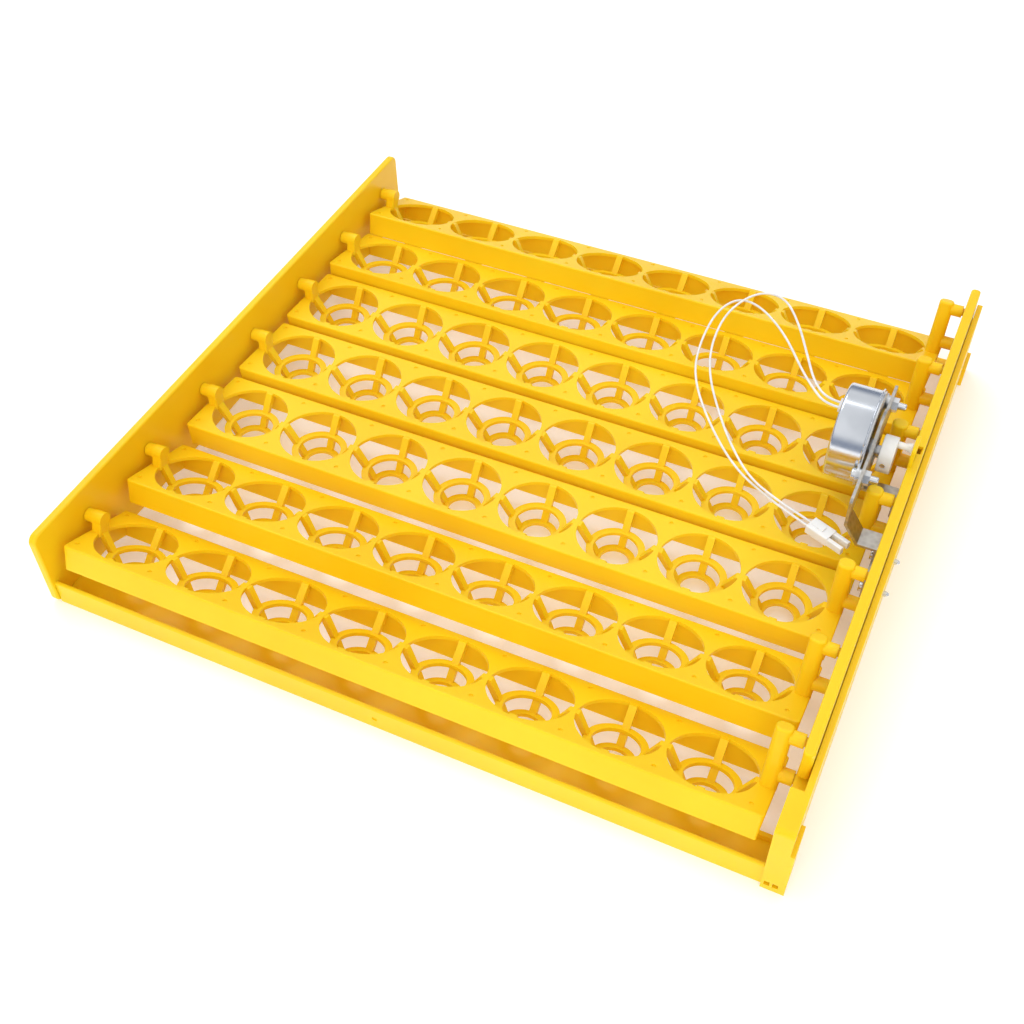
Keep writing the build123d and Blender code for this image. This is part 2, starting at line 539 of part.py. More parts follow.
# ================= crank =================
SET_SCREW_DIAMETER = 3.0
SET_SCREW_TOP = DISC_RADIUS - 0.4
SET_SCREW_X = DISC_BACK_X + 3.2
crank_y = MOTOR_Y + CRANK_RADIUS * math.cos(math.radians(CRANK_ANGLE))
crank_z = SHAFT_Z + CRANK_RADIUS * math.sin(math.radians(CRANK_ANGLE))
PIN_ROOT_DIAMETER = 3.8
PIN_FLARE_DIAMETER = 6.2
PIN_FLARE_LENGTH = 3.2
DISC_EDGE_RADIUS = 0.6

with BuildPart() as crank_disc:
    with BuildSketch(at_x(DISC_BACK_X)):
        with Locations((MOTOR_Y, SHAFT_Z)):
            Circle(DISC_RADIUS)
    extrude(amount=DISC_FRONT_X - DISC_BACK_X)
    fillet(crank_disc.edges().filter_by(GeomType.CIRCLE), DISC_EDGE_RADIUS)
    # D-shaped bore, blind at the front face
    with BuildSketch(at_x(DISC_BACK_X)):
        with Locations((MOTOR_Y, SHAFT_Z)):
            Circle(SHAFT_DIAMETER / 2 + 0.05)
        with Locations((MOTOR_Y - SHAFT_FLAT - 2.05, SHAFT_Z)):
            Rectangle(4.0, SHAFT_DIAMETER + 1.0, mode=Mode.SUBTRACT)
    extrude(amount=DISC_FRONT_X - DISC_BACK_X - 0.9, mode=Mode.SUBTRACT)
    # radial hole for the set screw, facing the shaft's flat
    with BuildSketch(at_y(MOTOR_Y - DISC_RADIUS - 1.0)):
        with Locations((SET_SCREW_X, SHAFT_Z)):
            Circle(SET_SCREW_DIAMETER / 2 + 0.05)
    extrude(amount=-(DISC_RADIUS + 1.0 - SHAFT_FLAT), mode=Mode.SUBTRACT)
    # crank pin with a flared end
    with BuildSketch(at_x(DISC_FRONT_X - 0.5)):
        with Locations((crank_y, crank_z)):
            Circle(PIN_ROOT_DIAMETER / 2)
    extrude(amount=CRANK_PIN_END_X - PIN_FLARE_LENGTH - DISC_FRONT_X + 0.5)
    flare_start_x = CRANK_PIN_END_X - PIN_FLARE_LENGTH
    with BuildSketch(at_x(flare_start_x)):
        with Locations((crank_y, crank_z)):
            Circle(PIN_ROOT_DIAMETER / 2)
    with BuildSketch(at_x(CRANK_PIN_END_X)):
        with Locations((crank_y, crank_z)):
            Circle(PIN_FLARE_DIAMETER / 2)
    loft()
save(crank_disc.part, "crank_disc")

with BuildPart() as crank_set_screw:
    with BuildSketch(at_y(MOTOR_Y - SET_SCREW_TOP)):
        with Locations((SET_SCREW_X, SHAFT_Z)):
            Circle(SET_SCREW_DIAMETER / 2)
    extrude(amount=-(SET_SCREW_TOP - SHAFT_FLAT - 0.05))
    with BuildSketch(at_y(MOTOR_Y - SET_SCREW_TOP)):
        with Locations((SET_SCREW_X, SHAFT_Z)):
            Rectangle(SET_SCREW_DIAMETER + 1.0, 0.6)
    extrude(amount=-0.8, mode=Mode.SUBTRACT)
save(crank_set_screw.part, "crank_set_screw")

# ================= bracket =================
PLATE_FRONT_X = EAR_FACE_X + SHEET
FOOT_BACK_X = RIGHT_INNER_X - SHEET
FRONT_LEG_YS = (-20.0, -8.0)
FRONT_FOOT_YS = (-36.0, -6.0)
FRONT_SHELF_TOP = 47.0
FRONT_FOOT_BOTTOM = 26.0
LEG_TOP = 59.0
FRONT_SHELF_BACK_X = 180.4           # where the sloping leg meets the shelf, underneath
FOOT_PLATE_HEIGHT = 14.0
FOOT_PLATE_RADIUS = 2.0
STRIP_CORNER_RADIUS = 3.0
FACE_DROP = 3.5                      # the round face's middle, below the motor's
REAR_LEG_YS = (22.0, 30.0)
REAR_SHELF_TOP = 44.0
REAR_FOOT_BOTTOM = 29.0
STRIP_HALF_HEIGHT = 9.0
STRIP_ENDS = (-20.0, MOTOR_Y + EAR_SPACING / 2 + 7.0)
SHAFT_WINDOW_RADIUS = 8.0
FACE_RADIUS = 19.0

with BuildPart() as motor_bracket:
    with BuildSketch(at_x(EAR_FACE_X)):
        with Locations(((STRIP_ENDS[0] + STRIP_ENDS[1]) / 2, MOTOR_Z)):
            RectangleRounded(STRIP_ENDS[1] - STRIP_ENDS[0], 2 * STRIP_HALF_HEIGHT, STRIP_CORNER_RADIUS)
        with Locations((MOTOR_Y, MOTOR_Z - FACE_DROP)):
            Circle(FACE_RADIUS)
        with Locations(((REAR_LEG_YS[0] + REAR_LEG_YS[1]) / 2, (REAR_SHELF_TOP + LEG_TOP) / 2)):
            Rectangle(REAR_LEG_YS[1] - REAR_LEG_YS[0], LEG_TOP - REAR_SHELF_TOP + 2 * SHEET)
        with Locations([(y, MOTOR_Z) for y in EAR_YS]):
            Circle(EAR_HOLE_DIAMETER / 2, mode=Mode.SUBTRACT)
        with Locations((MOTOR_Y, SHAFT_Z)):
            Circle(SHAFT_WINDOW_RADIUS, mode=Mode.SUBTRACT)
    extrude(amount=SHEET)
    # front leg: slopes outwards, then a shelf and the foot
    with BuildSketch(at_y(FRONT_LEG_YS[0])):
        with BuildLine():
            Polyline(
                (EAR_FACE_X, LEG_TOP + 1.0),
                (EAR_FACE_X, LEG_TOP - 1.4),
                (FRONT_SHELF_BACK_X, FRONT_SHELF_TOP - SHEET),
                (FOOT_BACK_X, FRONT_SHELF_TOP - SHEET),
                (FOOT_BACK_X, FRONT_FOOT_BOTTOM),
                (RIGHT_INNER_X, FRONT_FOOT_BOTTOM),
                (RIGHT_INNER_X, FRONT_SHELF_TOP),
                (FRONT_SHELF_BACK_X + 0.8, FRONT_SHELF_TOP),
                (PLATE_FRONT_X, LEG_TOP - 0.8),
                (PLATE_FRONT_X, LEG_TOP + 1.0),
                close=True,
            )
        make_face()
    extrude(amount=-(FRONT_LEG_YS[1] - FRONT_LEG_YS[0]))
    with BuildSketch(at_x(FOOT_BACK_X)):
        foot_middle_y = (FRONT_FOOT_YS[0] + FRONT_FOOT_YS[1]) / 2
        with Locations((foot_middle_y, FRONT_FOOT_BOTTOM + FOOT_PLATE_HEIGHT / 2)):
            RectangleRounded(FRONT_FOOT_YS[1] - FRONT_FOOT_YS[0], FOOT_PLATE_HEIGHT, FOOT_PLATE_RADIUS)
    extrude(amount=SHEET)
    with BuildSketch(at_x(FOOT_BACK_X)):
        with Locations([(y, FOOT_SCREW_Z) for y in FOOT_SCREW_YS]):
            Circle(FOOT_SCREW_DIAMETER / 2 + 0.1)
    extrude(amount=SHEET, mode=Mode.SUBTRACT)
    # rear leg: a level shelf and a foot resting on the rail
    with BuildSketch(at_y(REAR_LEG_YS[0])):
        with BuildLine():
            Polyline(
                (EAR_FACE_X, REAR_SHELF_TOP),
                (EAR_FACE_X, REAR_SHELF_TOP - SHEET),
                (FOOT_BACK_X, REAR_SHELF_TOP - SHEET),
                (FOOT_BACK_X, REAR_FOOT_BOTTOM),
                (RIGHT_INNER_X, REAR_FOOT_BOTTOM),
                (RIGHT_INNER_X, REAR_SHELF_TOP),
                close=True,
            )
        make_face()
    extrude(amount=-(REAR_LEG_YS[1] - REAR_LEG_YS[0]))
save(motor_bracket.part, "motor_bracket")

# ================= fasteners =================
MOTOR_SCREW_DIAMETER = 4.0
MOTOR_SCREW_TIP_X = 181.3
SCREW_HEAD = (6.8, 2.6)               # diameter and height of the motor screws' heads
NUT_SIZE = (7.0, 3.0)                 # across flats and height
FOOT_SCREW_HEAD = (5.6, 1.8)
FOOT_SCREW_TIP_X = 203.65
RECESS_WIDTH = 0.8


def cut_cross(head_x, centres, across, depth):
    """Cut a cross recess into the heads of screws that lie along X."""
    with Locations([(head_x + depth / 2, y, z) for y, z in centres]):
        Box(depth, across, RECESS_WIDTH, mode=Mode.SUBTRACT)
        Box(depth, RECESS_WIDTH, across, mode=Mode.SUBTRACT)


with BuildPart() as motor_screws:
    ear_points = [(y, MOTOR_Z) for y in EAR_YS]
    with BuildSketch(at_x(CAN_FRONT_X - SCREW_HEAD[1])):
        with Locations(ear_points):
            Circle(SCREW_HEAD[0] / 2)
    extrude(amount=SCREW_HEAD[1])
    fillet(motor_screws.edges().group_by(Axis.X)[0], 0.9)
    with BuildSketch(at_x(CAN_FRONT_X)):
        with Locations(ear_points):
            Circle(MOTOR_SCREW_DIAMETER / 2)
    extrude(amount=MOTOR_SCREW_TIP_X - CAN_FRONT_X)
    chamfer(motor_screws.edges().group_by(Axis.X)[-1], 0.5)
    cut_cross(CAN_FRONT_X - SCREW_HEAD[1], ear_points, 4.0, 1.3)
save(motor_screws.part, "motor_screws")

with BuildPart() as motor_nuts:
    with BuildSketch(at_x(PLATE_FRONT_X)):
        with Locations([(y, MOTOR_Z) for y in EAR_YS]):
            RegularPolygon(NUT_SIZE[0] / 2, 6, major_radius=False)
            Circle(MOTOR_SCREW_DIAMETER / 2 + 0.02, mode=Mode.SUBTRACT)
    extrude(amount=NUT_SIZE[1])
save(motor_nuts.part, "motor_nuts")

with BuildPart() as bracket_screws:
    foot_points = [(y, FOOT_SCREW_Z) for y in FOOT_SCREW_YS]
    head_x = FOOT_BACK_X - FOOT_SCREW_HEAD[1]
    with BuildSketch(at_x(head_x)):
        with Locations(foot_points):
            Circle(FOOT_SCREW_HEAD[0] / 2)
    extrude(amount=FOOT_SCREW_HEAD[1])
    fillet(bracket_screws.edges().group_by(Axis.X)[0], 0.7)
    with BuildSketch(at_x(FOOT_BACK_X)):
        with Locations(foot_points):
            Circle(FOOT_SCREW_DIAMETER / 2)
    extrude(amount=FOOT_SCREW_TIP_X - FOOT_BACK_X)
    chamfer(bracket_screws.edges().group_by(Axis.X)[-1], 1.3, 0.8)
    cut_cross(head_x, foot_points, 3.2, 1.0)
save(bracket_screws.part, "bracket_screws")

# ================= lead =================
WIRE_DIAMETER = 1.3
GROMMET_FRONT_X = 149.9
GROMMET_MIDDLE = (40.0, 80.0)
GROMMET_SIZE = (8.4, 4.4)
GROMMET_CORNER_RADIUS = 1.6
WIRE_A_ROUTE = (
    (GROMMET_FRONT_X, 38.0, 80.0),
    (142.3, 38.0, 80.0),
    (133.5, 46.5, 80.5),
    (123.5, 62.0, 77.0),
    (104.0, 99.0, 67.5),
    (82.0, 126.0, 60.5),
    (66.0, 133.0, 56.0),
    (57.0, 120.0, 51.0),
    (57.0, 92.0, 46.5),
    (63.0, 68.0, 44.2),
    (82.0, 38.0, 43.6),
    (107.0, 9.0, 43.5),
    (131.0, -5.0, 43.8),
    (146.03, -12.84, 45.0),
    (155.3, -16.58, 45.0),
)
WIRE_B_ROUTE = (
    (GROMMET_FRONT_X, 42.0, 80.0),
    (142.3, 42.0, 80.0),
    (133.0, 50.5, 81.5),
    (125.0, 68.0, 80.0),
    (110.0, 105.0, 72.0),
    (95.0, 131.0, 67.0),
    (78.0, 135.5, 63.0),
    (65.0, 119.0, 57.0),
    (64.0, 94.0, 51.5),
    (71.0, 70.0, 48.0),
    (86.0, 44.0, 46.4),
    (100.0, 23.0, 46.0),
    (117.0, 3.0, 46.2),
    (135.0, -6.5, 46.4),
    (147.23, -9.87, 45.0),
    (156.5, -13.62, 45.0),
)


def corner_radii(route):
    """The arc radius for each inner point of a route: 0.45 of the shorter run over tan(half turn)."""
    points = [Vector(*point) for point in route]
    radii = []
    for before, corner, after in zip(points, points[1:], points[2:]):
        run_in = corner - before
        run_out = after - corner
        turn = math.radians(run_in.get_angle(run_out))
        radii.append(0.45 * min(run_in.length, run_out.length) / math.tan(turn / 2))
    return radii


def make_wire(route, name):
    """A round wire along straight runs joined by tangent arcs."""
    radii = corner_radii(route)
    with BuildPart() as wire:
        with BuildLine() as path:
            FilletPolyline(*route, radius=radii)
        with BuildSketch(Plane(route[0], z_dir=Vector(*route[1]) - Vector(*route[0]))):
            Circle(WIRE_DIAMETER / 2)
        sweep(path=path.wire())
    length = sum(edge.length for edge in path.edges())
    section = math.pi * WIRE_DIAMETER ** 2 / 4
    ratio = wire.part.volume / (section * length)
    print(name, "length", round(length, 1), "volume ratio", round(ratio, 4))
    print("  radii", [round(radius, 1) for radius in radii])
    save(wire.part, name)


make_wire(WIRE_A_ROUTE, "lead_wire_a")
make_wire(WIRE_B_ROUTE, "lead_wire_b")

with BuildPart() as lead_grommet:
    with BuildSketch(at_x(GROMMET_FRONT_X)):
        with Locations(GROMMET_MIDDLE):
            RectangleRounded(GROMMET_SIZE[0], GROMMET_SIZE[1], GROMMET_CORNER_RADIUS)
    extrude(amount=CAN_BACK_X - GROMMET_FRONT_X)
save(lead_grommet.part, "lead_grommet")

CONNECTOR_HEADING = -22.0             # degrees in plan, from +X
CONNECTOR_REAR = (155.9, -15.1, 45.0)
HOUSING = (13.0, 8.6, 5.6)
PRONG = (9.0, 2.5, 4.4)
PRONG_SPREAD = 5.6
CONTACT = (7.4, 0.9)
LATCH_HEIGHT = 0.8

with BuildPart() as housing_form:
    with BuildSketch(Plane.YZ):
        RectangleRounded(HOUSING[1], HOUSING[2], 0.8)
    extrude(amount=HOUSING[0])
    with BuildSketch(Plane.YZ.offset(HOUSING[0])):
        with Locations((PRONG_SPREAD / 2, 0), (-PRONG_SPREAD / 2, 0)):
            RectangleRounded(PRONG[1], PRONG[2], 0.6)
    extrude(amount=PRONG[0])
    # latch ridge on top, and the mouth between the prongs
    with BuildSketch(Plane.XY.offset(HOUSING[2] / 2)):
        with Locations((HOUSING[0] * 0.4, 0)):
            Rectangle(HOUSING[0] * 0.5, HOUSING[1] * 0.45)
    extrude(amount=LATCH_HEIGHT)
    with BuildSketch(Plane.YZ.offset(HOUSING[0])):
        Rectangle(PRONG_SPREAD - PRONG[1] - 0.6, HOUSING[2] - 1.6)
    extrude(amount=-HOUSING[0] * 0.6, mode=Mode.SUBTRACT)

with BuildPart() as contact_form:
    with BuildSketch(Plane.YZ.offset(HOUSING[0] * 0.4)):
        with Locations((0, 0.9), (0, -0.9)):
            Rectangle(CONTACT[1], CONTACT[1])
    extrude(amount=CONTACT[0])

connector_place = Pos(*CONNECTOR_REAR) * Rot(0, 0, CONNECTOR_HEADING)
save(connector_place * housing_form.part, "connector_housing")
save(connector_place * contact_form.part, "connector_contacts")
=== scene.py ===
import json
import math

import bmesh
import bpy
from mathutils import Matrix, Vector


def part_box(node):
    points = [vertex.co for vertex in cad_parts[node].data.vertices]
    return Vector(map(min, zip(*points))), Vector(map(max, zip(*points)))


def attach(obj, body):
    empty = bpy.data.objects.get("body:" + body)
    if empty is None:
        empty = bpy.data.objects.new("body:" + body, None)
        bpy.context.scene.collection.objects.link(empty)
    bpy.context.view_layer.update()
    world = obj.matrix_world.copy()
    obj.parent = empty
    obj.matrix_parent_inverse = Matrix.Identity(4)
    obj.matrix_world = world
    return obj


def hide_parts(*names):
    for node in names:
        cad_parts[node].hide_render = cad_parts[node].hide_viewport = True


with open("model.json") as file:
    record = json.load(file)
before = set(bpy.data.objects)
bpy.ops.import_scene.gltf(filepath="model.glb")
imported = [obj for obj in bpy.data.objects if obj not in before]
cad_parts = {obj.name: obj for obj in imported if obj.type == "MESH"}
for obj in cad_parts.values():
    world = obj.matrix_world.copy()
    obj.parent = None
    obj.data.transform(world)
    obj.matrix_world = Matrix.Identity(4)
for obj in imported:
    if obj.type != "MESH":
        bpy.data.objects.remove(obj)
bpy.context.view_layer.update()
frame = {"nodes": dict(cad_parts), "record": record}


# ================= camera =================
CAMERA_PLACE = Vector((0.2111, -0.4804, 0.5459))
CAMERA_AZIMUTH = math.radians(-25.87)     # of the view direction, from +Y towards +X
CAMERA_DIP = math.radians(47.69)          # below the horizon
CAMERA_ROLL = math.radians(-1.18)
CAMERA_LENS = 45.68


def add_camera():
    """The camera, looking down over the front right corner."""
    data = bpy.data.cameras.new("camera")
    data.sensor_width = 36.0
    data.lens = CAMERA_LENS
    data.clip_start = 0.01
    camera = bpy.data.objects.new("camera", data)
    bpy.context.collection.objects.link(camera)
    level = math.cos(CAMERA_DIP)
    across = level * math.sin(CAMERA_AZIMUTH)
    along = level * math.cos(CAMERA_AZIMUTH)
    forward = Vector((across, along, -math.sin(CAMERA_DIP)))
    right = forward.cross(Vector((0, 0, 1))).normalized()
    up = right.cross(forward)
    turn = Matrix((right, up, -forward)).transposed() @ Matrix.Rotation(CAMERA_ROLL, 3, "Z")
    camera.matrix_world = Matrix.Translation(CAMERA_PLACE) @ turn.to_4x4()
    bpy.context.scene.camera = camera


add_camera()

# ================= lead wires =================
WIRE_DIAMETER = 0.0013
POINT_RADIUS = 0.001       # small, because a curve's box grows by its points' radius
WIRE_ROUTES = {
    "lead_wire_a": (
        (0.1499, 0.0380, 0.0800),
        (0.1423, 0.0380, 0.0800),
        (0.1335, 0.0465, 0.0805),
        (0.1235, 0.0620, 0.0770),
        (0.1040, 0.0990, 0.0675),
        (0.0820, 0.1260, 0.0605),
        (0.0660, 0.1330, 0.0560),
        (0.0570, 0.1200, 0.0510),
        (0.0570, 0.0920, 0.0465),
        (0.0630, 0.0680, 0.0442),
        (0.0820, 0.0380, 0.0436),
        (0.1070, 0.0090, 0.0435),
        (0.1310, -0.0050, 0.0438),
        (0.14603, -0.01284, 0.0450),
        (0.1553, -0.01658, 0.0450),
    ),
    "lead_wire_b": (
        (0.1499, 0.0420, 0.0800),
        (0.1423, 0.0420, 0.0800),
        (0.1330, 0.0505, 0.0815),
        (0.1250, 0.0680, 0.0800),
        (0.1100, 0.1050, 0.0720),
        (0.0950, 0.1310, 0.0670),
        (0.0780, 0.1355, 0.0630),
        (0.0650, 0.1190, 0.0570),
        (0.0640, 0.0940, 0.0515),
        (0.0710, 0.0700, 0.0480),
        (0.0860, 0.0440, 0.0464),
        (0.1000, 0.0230, 0.0460),
        (0.1170, 0.0030, 0.0462),
        (0.1350, -0.0065, 0.0464),
        (0.14723, -0.00987, 0.0450),
        (0.1565, -0.01362, 0.0450),
    ),
}


def add_wire(node):
    """One lead wire as a smooth curve along its route."""
    route = WIRE_ROUTES[node]
    curve = bpy.data.curves.new(node + "_curve", "CURVE")
    curve.dimensions = "3D"
    curve.bevel_depth = WIRE_DIAMETER / 2 / POINT_RADIUS
    curve.bevel_resolution = 4
    curve.resolution_u = 10
    curve.use_fill_caps = True
    spline = curve.splines.new("NURBS")
    spline.points.add(len(route) - 1)
    for point, place in zip(spline.points, route):
        point.co = (*place, 1.0)
        point.radius = POINT_RADIUS
    spline.order_u = 3
    spline.use_endpoint_u = True
    wire = bpy.data.objects.new(node + "_soft", curve)
    bpy.context.collection.objects.link(wire)
    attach(wire, "frame")
    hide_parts(node)
    return wire


wires = [
    add_wire("lead_wire_a"),
    add_wire("lead_wire_b"),
]


# ================= materials =================
# texture scales, in repeats per metre
PLASTIC_DRIFT_SCALE = 14.0
PLASTIC_SCUFF_SCALE = 160.0
PLASTIC_SKIN_SCALE = 900.0
METAL_TONE_SCALE = 30.0
METAL_GRAIN_SCALE = 500.0
ZINC_PATCH_SCALE = 350.0
ZINC_GRAIN_SCALE = 300.0
MILKY_TONE_SCALE = 120.0
MILKY_SKIN_SCALE = 1400.0
WINDING_SCALE = 600.0
FLOOR_TONE_SCALE = 3.0


def new_material(name, roughness, metallic=0.0):
    """A node material; returns it with its tree and its shader."""
    material = bpy.data.materials.new(name)
    material.use_nodes = True
    tree = material.node_tree
    shader = tree.nodes["Principled BSDF"]
    shader.inputs["Roughness"].default_value = roughness
    shader.inputs["Metallic"].default_value = metallic
    return material, tree, shader


def add_noise(tree, scale, stretch=(1, 1, 1), detail=3.0):
    """Noise over the object's own coordinates, in metres, stretched along some axes."""
    place = tree.nodes.new("ShaderNodeTexCoord")
    mapping = tree.nodes.new("ShaderNodeMapping")
    mapping.inputs["Scale"].default_value = stretch
    noise = tree.nodes.new("ShaderNodeTexNoise")
    noise.inputs["Scale"].default_value = scale
    noise.inputs["Detail"].default_value = detail
    tree.links.new(place.outputs["Object"], mapping.inputs["Vector"])
    tree.links.new(mapping.outputs["Vector"], noise.inputs["Vector"])
    return noise.outputs["Fac"]


def colour_between(tree, factor, first, second, span=(0.35, 0.65)):
    """A colour ramp from first to second, driven by factor."""
    ramp = tree.nodes.new("ShaderNodeValToRGB")
    ramp.color_ramp.elements[0].position = span[0]
    ramp.color_ramp.elements[1].position = span[1]
    ramp.color_ramp.elements[0].color = (*first, 1)
    ramp.color_ramp.elements[1].color = (*second, 1)
    tree.links.new(factor, ramp.inputs["Fac"])
    return ramp.outputs["Color"]


def value_between(tree, factor, low, high):
    """Factor from 0 to 1 spread over low to high."""
    spread = tree.nodes.new("ShaderNodeMapRange")
    spread.inputs["To Min"].default_value = low
    spread.inputs["To Max"].default_value = high
    tree.links.new(factor, spread.inputs["Value"])
    return spread.outputs["Result"]


def add_bump(tree, shader, factor, strength, distance):
    """Bump on the shader, from factor; distance is in metres."""
    bump = tree.nodes.new("ShaderNodeBump")
    bump.inputs["Strength"].default_value = strength
    bump.inputs["Distance"].default_value = distance
    tree.links.new(factor, bump.inputs["Height"])
    tree.links.new(bump.outputs["Normal"], shader.inputs["Normal"])


def make_plastic(name, dark, light, roughness):
    """Moulded polypropylene: slow colour drift, a faint orange-peel skin and a little light inside."""
    material, tree, shader = new_material(name, roughness)
    drift = add_noise(tree, PLASTIC_DRIFT_SCALE)
    tree.links.new(colour_between(tree, drift, dark, light), shader.inputs["Base Color"])
    scuff = add_noise(tree, PLASTIC_SCUFF_SCALE, stretch=(0.4, 1, 1))
    tree.links.new(value_between(tree, scuff, roughness - 0.07, roughness + 0.09), shader.inputs["Roughness"])
    add_bump(tree, shader, add_noise(tree, PLASTIC_SKIN_SCALE, detail=2.0), 0.12, 0.0001)
    shader.inputs["Specular IOR Level"].default_value = 0.3
    shader.inputs["Subsurface Weight"].default_value = 0.3
    shader.inputs["Subsurface Radius"].default_value = (1.0, 0.55, 0.08)
    shader.inputs["Subsurface Scale"].default_value = 0.004
    return material


def make_metal(name, dark, light, roughness, stretch):
    """Sheet or turned metal, with a grain stretched along one direction."""
    material, tree, shader = new_material(name, roughness, metallic=1.0)
    tone = add_noise(tree, METAL_TONE_SCALE)
    tree.links.new(colour_between(tree, tone, dark, light), shader.inputs["Base Color"])
    grain = add_noise(tree, METAL_GRAIN_SCALE, stretch=stretch)
    tree.links.new(value_between(tree, grain, roughness - 0.06, roughness + 0.1), shader.inputs["Roughness"])
    add_bump(tree, shader, grain, 0.05, 0.00002)
    return material


def make_spangle(name, dark, light, roughness):
    """Zinc-plated sheet with faint crystal patches."""
    material, tree, shader = new_material(name, roughness, metallic=1.0)
    place = tree.nodes.new("ShaderNodeTexCoord")
    cells = tree.nodes.new("ShaderNodeTexVoronoi")
    cells.inputs["Scale"].default_value = ZINC_PATCH_SCALE
    tree.links.new(place.outputs["Object"], cells.inputs["Vector"])
    patches = colour_between(tree, cells.outputs["Distance"], dark, light, (0.1, 0.8))
    tree.links.new(patches, shader.inputs["Base Color"])
    grain = add_noise(tree, ZINC_GRAIN_SCALE)
    tree.links.new(value_between(tree, grain, roughness - 0.05, roughness + 0.12), shader.inputs["Roughness"])
    add_bump(tree, shader, grain, 0.08, 0.00005)
    return material


def make_milky(name, dark, light, roughness, glow):
    """White nylon or PVC, lit a little from inside."""
    material, tree, shader = new_material(name, roughness)
    tone = add_noise(tree, MILKY_TONE_SCALE)
    tree.links.new(colour_between(tree, tone, dark, light), shader.inputs["Base Color"])
    add_bump(tree, shader, add_noise(tree, MILKY_SKIN_SCALE, detail=2.0), 0.1, 0.00005)
    shader.inputs["Subsurface Weight"].default_value = glow
    shader.inputs["Subsurface Radius"].default_value = (1.0, 0.9, 0.75)
    shader.inputs["Subsurface Scale"].default_value = 0.002
    return material


def make_winding(name):
    """Copper wire wound round the motor's axis."""
    material, tree, shader = new_material(name, 0.4, metallic=0.8)
    bands = tree.nodes.new("ShaderNodeTexWave")
    bands.inputs["Scale"].default_value = WINDING_SCALE
    place = tree.nodes.new("ShaderNodeTexCoord")
    tree.links.new(place.outputs["Object"], bands.inputs["Vector"])
    tree.links.new(colour_between(tree, bands.outputs["Fac"], (0.3, 0.1, 0.03), (0.6, 0.25, 0.1)),
                   shader.inputs["Base Color"])
    add_bump(tree, shader, bands.outputs["Fac"], 0.4, 0.0001)
    return material


ALONG_X = (0.06, 1, 1)
AROUND_X = (1, 0.12, 0.12)
materials = {
    "yellow_plastic": make_plastic("yellow_plastic", (0.93, 0.58, 0.006), (0.96, 0.63, 0.010), 0.34),
    "row_plastic": make_plastic("row_plastic", (0.93, 0.58, 0.006), (0.97, 0.64, 0.012), 0.36),
    "bar_plastic": make_plastic("bar_plastic", (0.93, 0.58, 0.006), (0.96, 0.63, 0.011), 0.32),
    "motor_steel": make_metal("motor_steel", (0.55, 0.58, 0.63), (0.72, 0.75, 0.80), 0.16, AROUND_X),
    "plate_steel": make_metal("plate_steel", (0.60, 0.61, 0.62), (0.74, 0.75, 0.76), 0.28, ALONG_X),
    "gear_plate": make_metal("gear_plate", (0.5, 0.5, 0.5), (0.6, 0.6, 0.6), 0.35, ALONG_X),
    "bracket_zinc": make_spangle("bracket_zinc", (0.44, 0.42, 0.39), (0.58, 0.56, 0.52), 0.32),
    "screw_zinc": make_metal("screw_zinc", (0.66, 0.67, 0.68), (0.82, 0.83, 0.84), 0.22, AROUND_X),
    "shaft_steel": make_metal("shaft_steel", (0.5, 0.5, 0.51), (0.64, 0.64, 0.65), 0.26, AROUND_X),
    "contact_brass": make_metal("contact_brass", (0.62, 0.46, 0.2), (0.75, 0.6, 0.32), 0.3, ALONG_X),
    "coil_copper": make_winding("coil_copper"),
    "lead_white": make_milky("lead_white", (0.80, 0.80, 0.81), (0.90, 0.90, 0.90), 0.38, 0.05),
    "connector_white": make_milky("connector_white", (0.82, 0.82, 0.80), (0.90, 0.90, 0.89), 0.36, 0.15),
    "nylon_white": make_milky("nylon_white", (0.82, 0.81, 0.76), (0.90, 0.89, 0.86), 0.34, 0.35),
    "gear_plastic": make_milky("gear_plastic", (0.70, 0.68, 0.60), (0.78, 0.76, 0.70), 0.45, 0.1),
    "rotor_ferrite": make_metal("rotor_ferrite", (0.03, 0.03, 0.03), (0.06, 0.06, 0.06), 0.5, ALONG_X),
}


def paint_frame():
    """Give each CAD node the material of its slot."""
    for subpart in frame["record"]["subparts"]:
        node = frame["nodes"][subpart["node"]]
        material = materials[subpart["material_slot"]]
        if not node.material_slots:
            node.data.materials.append(material)
        for place in node.material_slots:
            place.material = material


paint_frame()
for wire in wires:
    wire.data.materials.append(materials["lead_white"])


# ================= fine detail on the motor =================
def ring_mesh(name, centre, profile, segments, wobble):
    """A closed ring about X: profile is (x, radius) corners, and wobble(angle) adds to the radius."""
    mesh = bpy.data.meshes.new(name)
    form = bmesh.new()
    loops = []
    for step in range(segments):
        angle = 2 * math.pi * step / segments
        extra = wobble(angle)
        loops.append([
            form.verts.new((x, centre[1] + (radius + extra) * math.cos(angle),
                            centre[2] + (radius + extra) * math.sin(angle)))
            for x, radius in profile
        ])
    for before, after in zip(loops, loops[1:] + loops[:1]):
        for first in range(len(profile)):
            second = (first + 1) % len(profile)
            form.faces.new((before[first], before[second], after[second], after[first]))
    bmesh.ops.recalc_face_normals(form, faces=form.faces)
    form.to_mesh(mesh)
    form.free()
    for face in mesh.polygons:
        face.use_smooth = True
    piece = bpy.data.objects.new(name, mesh)
    bpy.context.collection.objects.link(piece)
    return piece


CRIMP_COUNT = 24
CRIMP_DEPTH = 0.00025
BEAD_RADIUS = 0.0006
BEAD_STEPS = 10
BEAD_OVERHANG = 0.3            # how far the bead's middle lies behind the can's front, in bead radii
BEAD_INSET = 0.0002
RIM_SEGMENTS = 240


def crimp_wobble(angle):
    """Shallow dents where the can's rim is pressed over the front plate."""
    return -CRIMP_DEPTH * max(0.0, math.cos(CRIMP_COUNT * angle)) ** 4


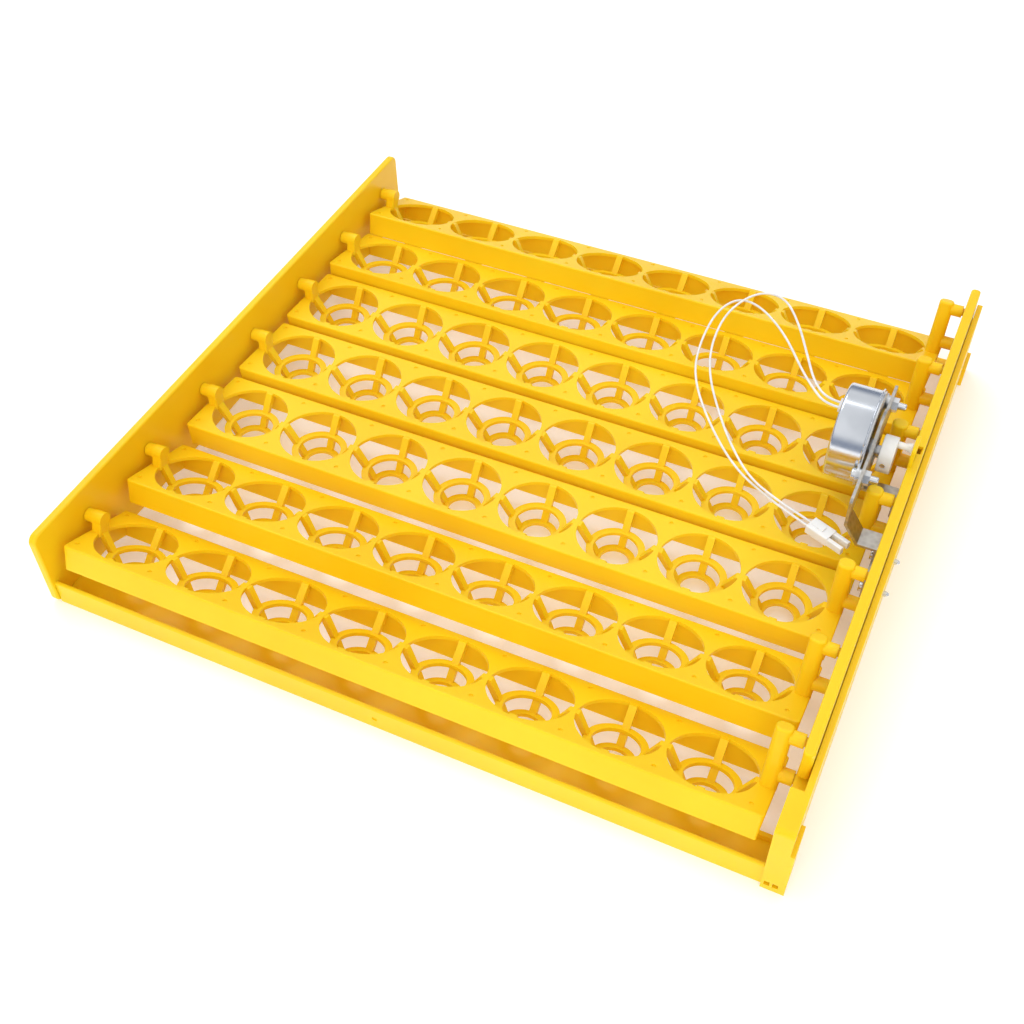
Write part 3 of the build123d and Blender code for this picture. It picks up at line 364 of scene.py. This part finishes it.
def add_crimped_rim():
    """The rolled and crimped edge at the front of the motor can."""
    low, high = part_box("motor_can")
    centre = Vector(low).lerp(Vector(high), 0.5)
    radius = (high[1] - low[1]) / 2
    front = high[0]
    profile = []
    for step in range(BEAD_STEPS):
        angle = 2 * math.pi * step / BEAD_STEPS
        profile.append((
            front - BEAD_RADIUS * BEAD_OVERHANG + BEAD_RADIUS * math.cos(angle),
            radius - BEAD_INSET + BEAD_RADIUS * math.sin(angle),
        ))
    rim = ring_mesh("can_crimped_rim", centre, profile, RIM_SEGMENTS, crimp_wobble)
    rim.data.materials.append(materials["motor_steel"])
    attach(rim, "frame")


add_crimped_rim()


# ================= stage and lights =================
FLOOR_REACH = 6.0
FLOOR_DROP = -0.0002           # just under the object, so the two never share a face
FLOOR_GLOW = (1.0, 0.93, 0.88, 1.0)
FLOOR_GLOW_STRENGTH = 0.2
WALL_COLOUR = (0.30, 0.34, 0.42)
CEILING_COLOUR = (0.94, 0.94, 0.94)
KEY_PLACE = (-0.7, 0.7, 1.6)
KEY_SIZE = 1.2
KEY_POWER = 8.0
FILL_PLACE = (0.3, -1.5, 0.9)
FILL_SIZE = 1.4
FILL_POWER = 11.0
WALL_TO_CEILING = (0.22, 0.5)  # heights of the view direction between which one turns into the other


def add_floor():
    """A plain white floor just under the object, lit a little from below."""
    mesh = bpy.data.meshes.new("floor")
    corners = [
        (side * FLOOR_REACH, end * FLOOR_REACH, FLOOR_DROP)
        for side, end in ((-1, -1), (1, -1), (1, 1), (-1, 1))
    ]
    mesh.from_pydata(corners, [], [(0, 1, 2, 3)])
    floor = bpy.data.objects.new("floor", mesh)
    bpy.context.collection.objects.link(floor)
    material, tree, shader = new_material("floor_white", 0.75)
    tone = add_noise(tree, FLOOR_TONE_SCALE)
    whites = colour_between(tree, tone, (0.90, 0.90, 0.90), (0.93, 0.93, 0.93))
    tree.links.new(whites, shader.inputs["Base Color"])
    shader.inputs["Emission Color"].default_value = FLOOR_GLOW
    shader.inputs["Emission Strength"].default_value = FLOOR_GLOW_STRENGTH
    floor.data.materials.append(material)


def add_area_light(name, place, size, power, mirrored):
    """A soft square light aimed at the origin; mirrored says if it shows in glossy surfaces."""
    data = bpy.data.lights.new(name, "AREA")
    data.size = size
    data.energy = power
    light = bpy.data.objects.new(name, data)
    bpy.context.collection.objects.link(light)
    light.location = place
    light.visible_glossy = mirrored
    light.rotation_euler = (-Vector(place)).to_track_quat("-Z", "Y").to_euler()


def add_world(horizon, overhead):
    """Surroundings: a white ceiling over a darker band of wall near the horizon; plain colour output."""
    world = bpy.data.worlds.new("studio")
    world.use_nodes = True
    tree = world.node_tree
    place = tree.nodes.new("ShaderNodeTexCoord")
    height = tree.nodes.new("ShaderNodeSeparateXYZ")
    tree.links.new(place.outputs["Generated"], height.inputs["Vector"])
    colour = colour_between(tree, height.outputs["Z"], horizon, overhead, WALL_TO_CEILING)
    tree.links.new(colour, tree.nodes["Background"].inputs["Color"])
    bpy.context.scene.world = world
    bpy.context.scene.view_settings.view_transform = "Standard"


add_floor()
add_world(WALL_COLOUR, CEILING_COLOUR)
add_area_light("key", KEY_PLACE, KEY_SIZE, KEY_POWER, True)
add_area_light("fill", FILL_PLACE, FILL_SIZE, FILL_POWER, False)


bpy.context.view_layer.update()
